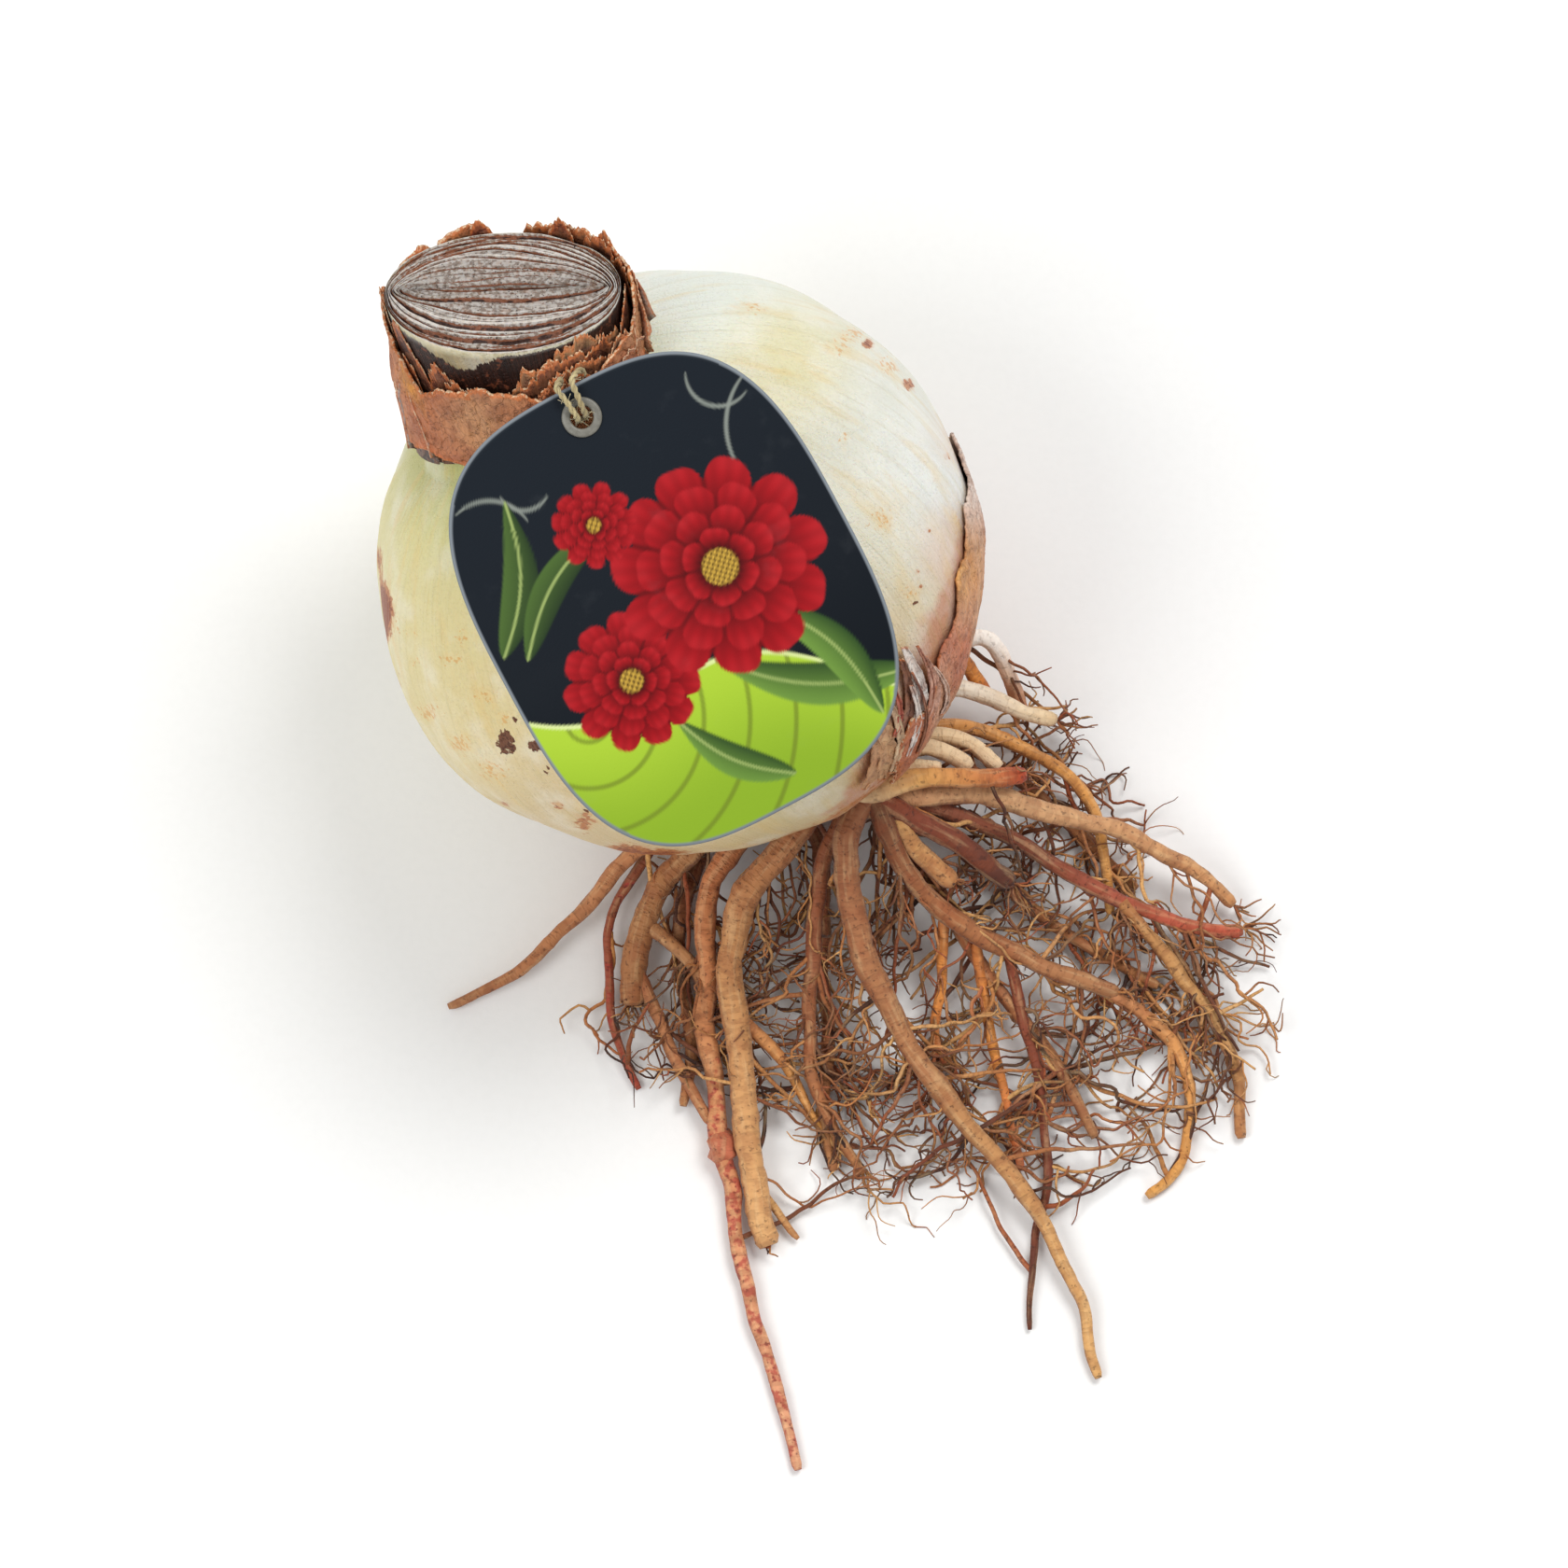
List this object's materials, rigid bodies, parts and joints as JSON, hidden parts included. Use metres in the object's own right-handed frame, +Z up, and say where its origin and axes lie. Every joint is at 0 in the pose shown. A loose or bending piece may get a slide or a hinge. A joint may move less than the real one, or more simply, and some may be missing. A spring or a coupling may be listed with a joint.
{
  "type": "amaryllis bulb",
  "caption": "Bare-root amaryllis bulb lying down: round pale body, cut neck with dry collar, fanned roots and rootlets, and a blank-lettered hang tag on twine.",
  "frame": {"origin": "centre of the small flat spot that the bulb rests on", "axes": "+Z up; -X and +Y is the side that the neck leans to; +X and -Y is the side where the roots lie"},
  "size_m": [0.1384, 0.1794, 0.1011],
  "materials": {
    "bulb_flesh": "satin",
    "dry_tunic": "matte",
    "root_skin": "matte",
    "printed_card": "gloss",
    "eyelet_ring": "satin",
    "jute_twine": "matte"
  },
  "bodies": {
    "root": {"bulb": "bulb_flesh", "neck_tunic": "dry_tunic", "side_tunic": "dry_tunic", "roots": "root_skin", "tag": "printed_card", "eyelet": "eyelet_ring", "twine": "jute_twine"}
  },
  "joints": []
}
